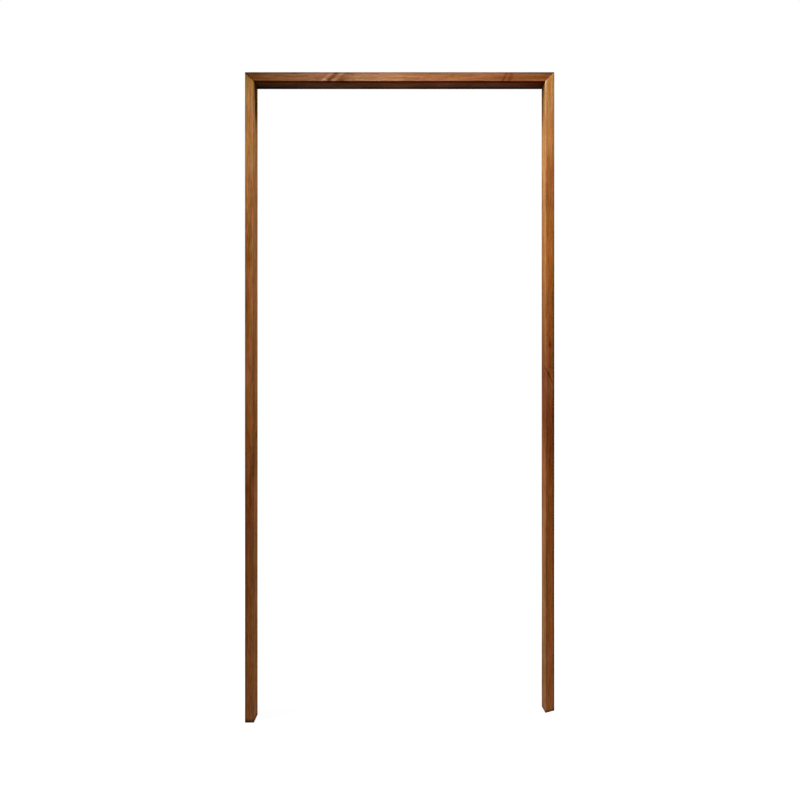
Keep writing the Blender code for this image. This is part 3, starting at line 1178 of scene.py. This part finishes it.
def fit_corner(name, side, boards, bare):
    """Drills a corner's boards, and returns its new screws with the tools that shape them all."""
    drills = []
    for mesh, spots in ((dowel_hole(), dowel_spots(side)), (screw_hole(), screw_spots(side))):
        hole = finished_mesh(name + "_hole", mesh, [bare])
        drills += [place(name + "_drill", hole, *spot) for spot in spots]
    for board in boards:
        for drill in drills:
            take_away(board, drill)
    steel = zinc()
    body = finished_mesh("threaded_screw", screw(), [steel])
    cross = finished_mesh("cross_recess", recess(), [steel])
    screws = []
    for number, spot in enumerate(screw_spots(side), start=1):
        made = place(f"{name}_threaded_screw_{number}", body, *spot)
        driver = place(name + "_driver", cross, *spot)
        take_away(made, driver)
        drills.append(driver)
        screws.append(made)
    return screws, drills


def build_frame():
    """Makes the fine boards and screws, and finishes the dowels that stay."""
    bare = bare_fibreboard()
    left = jamb(LEFT, (Vector((0, 0, 0)), UP), wood(LEFT_JAMB_LOOKS), bare)
    right = jamb(RIGHT, right_foot_plane(), wood(RIGHT_JAMB_LOOKS), bare)
    top = head(wood(HEAD_LOOKS), bare)
    left_screws, left_tools = fit_corner("left", LEFT, (left, top), bare)
    right_screws, right_tools = fit_corner("right", RIGHT, (right, top), bare)
    settle((left, right, top, *left_screws, *right_screws), left_tools + right_tools)
    for board, node in ((left, "left_jamb"), (right, "right_jamb"), (top, "head")):
        stand_for(board, node)
    for name, screws in (("left", left_screws), ("right", right_screws)):
        for number, made in enumerate(screws, start=1):
            stand_for(made, f"{name}_screw_{number}")
    dowel_wood = beech()
    for name, node in frame["nodes"].items():
        if "dowel" in name:
            node.material_slots[0].material = dowel_wood


def floor_material():
    """White as it is seen, with the frame's shadow, while it throws little light back up."""
    material = bpy.data.materials.new("pale_floor")
    material.use_nodes = True
    nodes = Nodes(material.node_tree)
    nodes.tree.nodes.clear()
    matt = nodes.result("ShaderNodeBsdfDiffuse", (FLOOR_COLOUR, FLOOR_COLOUR, FLOOR_COLOUR, 1))
    distance = nodes.node("ShaderNodeVectorMath", operation="LENGTH")
    nodes.plug(distance.inputs[0], nodes.place())
    distance = distance.outputs["Value"]
    white = nodes.between(distance, FLOOR_WHITE_FROM, FLOOR_WHITE_AT, FLOOR_WHITENING, 1.0, "LINEAR")
    glow = nodes.result("ShaderNodeEmission", WHITE, nodes.times(nodes.seen_directly(), white))
    above = nodes.result("ShaderNodeAddShader", matt, glow)
    below = nodes.result("ShaderNodeBsdfTransparent")
    from_below = nodes.node("ShaderNodeNewGeometry").outputs["Backfacing"]
    shown = nodes.result("ShaderNodeMixShader", from_below, above, below)
    nodes.plug(nodes.node("ShaderNodeOutputMaterial").inputs["Surface"], shown)
    return material


def add_floor():
    """A wide round floor under the frame."""
    shape = bmesh.new()
    bmesh.ops.create_circle(shape, cap_ends=True, segments=FLOOR_SIDES, radius=FLOOR_RADIUS)
    floor = place("floor", bpy.data.meshes.new("floor"))
    shape.to_mesh(floor.data)
    shape.free()
    floor.data.materials.append(floor_material())


def add_world():
    """White where it is seen; as light, a soft sky over a dim ground."""
    world = bpy.data.worlds.new("studio")
    bpy.context.scene.world = world
    world.use_nodes = True
    nodes = Nodes(world.node_tree)
    nodes.tree.nodes.clear()
    height = nodes.split(nodes.node("ShaderNodeTexCoord").outputs["Generated"])[2]
    level = nodes.between(height, GROUND_BELOW, SKY_ABOVE, GROUND_LIGHT, SKY_LIGHT, "LINEAR")
    lighting = nodes.result("ShaderNodeBackground", WHITE, level)
    white = nodes.result("ShaderNodeBackground", WHITE)
    shown = nodes.result("ShaderNodeMixShader", nodes.seen_directly(), lighting, white)
    nodes.plug(nodes.node("ShaderNodeOutputWorld").inputs["Surface"], shown)


def add_lamp(name, location, aim, size, power):
    """A square soft light pointed at a place."""
    data = bpy.data.lights.new(name, "AREA")
    data.shape = "SQUARE"
    data.size = size
    data.energy = power
    lamp = bpy.data.objects.new(name, data)
    lamp.location = location
    lamp.rotation_euler = (Vector(aim) - Vector(location)).to_track_quat("-Z", "Y").to_euler()
    bpy.context.scene.collection.objects.link(lamp)


def add_lights():
    """A large soft key from the upper left, and weaker lights from the right and from behind."""
    add_lamp("key", location=(-4.0, -2.4, 3.0), aim=(0.1, 0.0, 1.2), size=2.2, power=320)
    add_lamp("fill", location=(2.2, -1.6, 0.9), aim=(-0.4, 0.0, 0.6), size=1.4, power=14)
    add_lamp("back", location=(1.6, 2.8, 2.6), aim=(0.0, 0.0, 1.1), size=2.0, power=80)


def add_camera():
    """Square to the frame, at the photograph's distance and height."""
    data = bpy.data.cameras.new("camera")
    data.sensor_width = CAMERA_SENSOR
    data.lens = CAMERA_LENS
    camera = bpy.data.objects.new("camera", data)
    camera.location = CAMERA_PLACE
    camera.rotation_euler = (math.radians(90), 0, 0)
    bpy.context.scene.collection.objects.link(camera)
    bpy.context.scene.camera = camera


build_frame()
add_floor()
add_world()
add_lights()
add_camera()
bpy.context.scene.view_settings.view_transform = "Standard"
